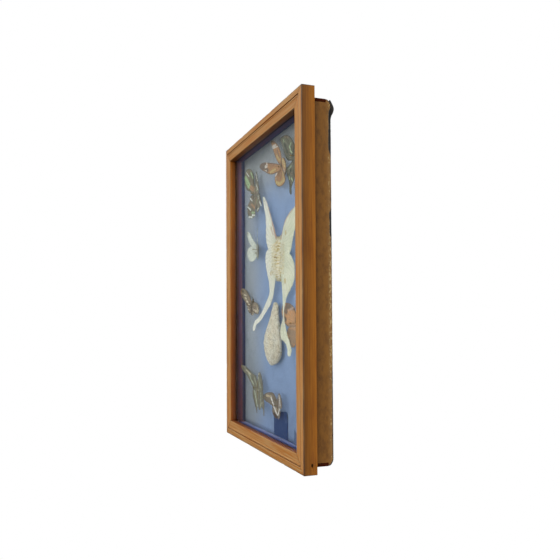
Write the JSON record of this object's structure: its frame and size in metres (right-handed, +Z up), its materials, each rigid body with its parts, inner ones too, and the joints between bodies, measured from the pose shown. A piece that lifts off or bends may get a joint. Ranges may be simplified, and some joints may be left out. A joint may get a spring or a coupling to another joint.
{
  "type": "glazed wall case of mounted butterflies",
  "caption": "Shallow wooden wall case with a mitred moulded front frame and glass, holding pinned butterflies, a pale moon moth and its silk cocoon on a blue ground.",
  "frame": {"origin": "middle of the flat papered back, where the case meets the wall", "axes": "+Z up along the long sides, -Y out of the glazed front, +X to the right seen from the front"},
  "size_m": [0.28, 0.0383, 0.4],
  "materials": {
    "frame_wood": "honey brown wood under old varnish",
    "nail_steel": "dull dark steel",
    "glass": "clear old window glass",
    "lining_card": "matt dark blue paper on card",
    "blue_paper": "faded light blue paper",
    "cork": "raw pressed cork",
    "card_paper": "unfaded dark blue paper",
    "case_side": "brown papered wood, mottled and worn",
    "dark_wood": "dark stained wood",
    "back_board": "raw thin board",
    "black_paper": "black backing paper, torn and rubbed along its edges",
    "moth_scales": "matt pale green and cream scales",
    "cocoon_silk": "cream pierced silk",
    "tiger_scales": "matt orange scales with dark white-spotted tips",
    "swallowtail_scales": "matt dark olive scales with pale green marks",
    "jay_scales": "matt brown and green scales with pale spots",
    "white_scales": "matt white scales",
    "longwing_scales": "matt brown scales with cream spots",
    "orange_scales": "matt orange and dark brown scales",
    "swordtail_scales": "thin pale olive scales with pale stripes",
    "banded_scales": "matt mottled brown scales with white bands",
    "pin_brass": "dull brass wire"
  },
  "bodies": {
    "root": {"rail_top": "frame_wood", "rail_bottom": "frame_wood", "stile_left": "frame_wood", "stile_right": "frame_wood", "corner_nail": "nail_steel", "glass_pane": "glass", "lining_left": "lining_card", "lining_right": "lining_card", "lining_top": "lining_card", "lining_bottom": "lining_card", "blue_sheet": "blue_paper", "cork_board": "cork", "blue_card": "card_paper", "case_side_left": "case_side", "case_side_right": "case_side", "case_top": "dark_wood", "case_bottom": "dark_wood", "back_board": "back_board", "backing_paper": "black_paper", "moon_moth": "moth_scales", "cocoon": "cocoon_silk", "butterfly_tiger": "tiger_scales", "butterfly_swallowtail": "swallowtail_scales", "butterfly_jay": "jay_scales", "butterfly_white": "white_scales", "butterfly_longwing": "longwing_scales", "butterfly_orange": "orange_scales", "butterfly_swordtail": "swordtail_scales", "butterfly_banded": "banded_scales", "pin_moon_moth": "pin_brass", "pin_tiger": "pin_brass", "pin_swallowtail": "pin_brass", "pin_jay": "pin_brass", "pin_white": "pin_brass", "pin_longwing": "pin_brass", "pin_orange": "pin_brass", "pin_swordtail": "pin_brass", "pin_banded": "pin_brass"}
  },
  "joints": []
}
